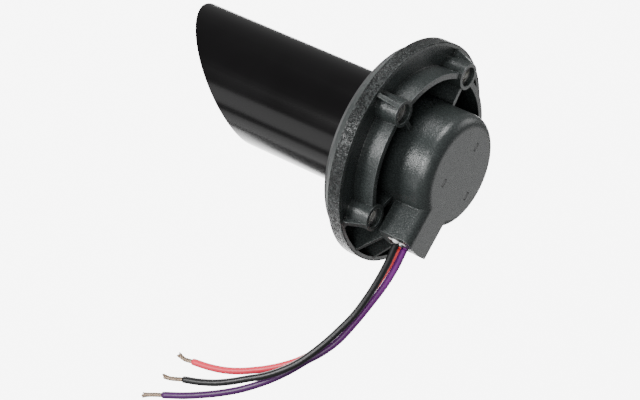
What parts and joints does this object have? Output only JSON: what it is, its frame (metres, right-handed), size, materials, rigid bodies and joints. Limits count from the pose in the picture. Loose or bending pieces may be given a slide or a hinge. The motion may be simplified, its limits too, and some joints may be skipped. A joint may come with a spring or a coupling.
{
  "type": "tank level sensor",
  "caption": "Flange-mounted ultrasonic tank level sender: domed head with a cable box, bossed flange and an obliquely cut focus tube.",
  "frame": {"origin": "centre of the gasket's underside, the face that seats on the tank, on the axis of the screw circle", "axes": "+Z along the focus tube, away from the tank; the cable box points to -Y"},
  "size_m": [0.069, 0.1354, 0.1036],
  "materials": {
    "moulding": "fine matt texture, dark grey-black",
    "gasket_rubber": "smooth matt",
    "tube_plastic": "extruded satin gloss",
    "plated_steel": "plated",
    "aluminium": "plain",
    "ceramic": "fired, matt",
    "resin": "cast",
    "silicone": "matt",
    "board": "solder mask",
    "chip_body": "matt epoxy",
    "copper": "enamelled wire and ferrite",
    "solder": "tinned",
    "sealant": "set bead",
    "insulation_red": "soft glossy insulation",
    "insulation_black": "soft glossy insulation",
    "insulation_purple": "soft glossy insulation"
  },
  "bodies": {
    "root": {"housing": "moulding", "flange_gasket": "gasket_rubber", "focus_tube": "tube_plastic", "tube_o_ring": "gasket_rubber", "screw_sleeves": "plated_steel", "transducer_can": "aluminium", "matching_face": "ceramic", "piezo_disc": "ceramic", "damping_pad": "gasket_rubber", "transducer_plug": "resin", "isolator_sleeve": "silicone", "retaining_ring": "moulding", "piezo_leads": "insulation_red", "circuit_board": "board", "microcontroller": "chip_body", "voltage_regulator": "chip_body", "pulse_transformer": "copper", "filter_capacitors": "aluminium", "crystal": "plated_steel", "chip_parts": "ceramic", "solder_joints": "solder", "inner_leads": "insulation_red", "potting_resin": "resin", "exit_sealant": "sealant", "wire_red": "insulation_red", "wire_black": "insulation_black", "wire_purple": "insulation_purple", "strands_red": "solder", "strands_black": "solder", "strands_purple": "solder"}
  },
  "joints": []
}
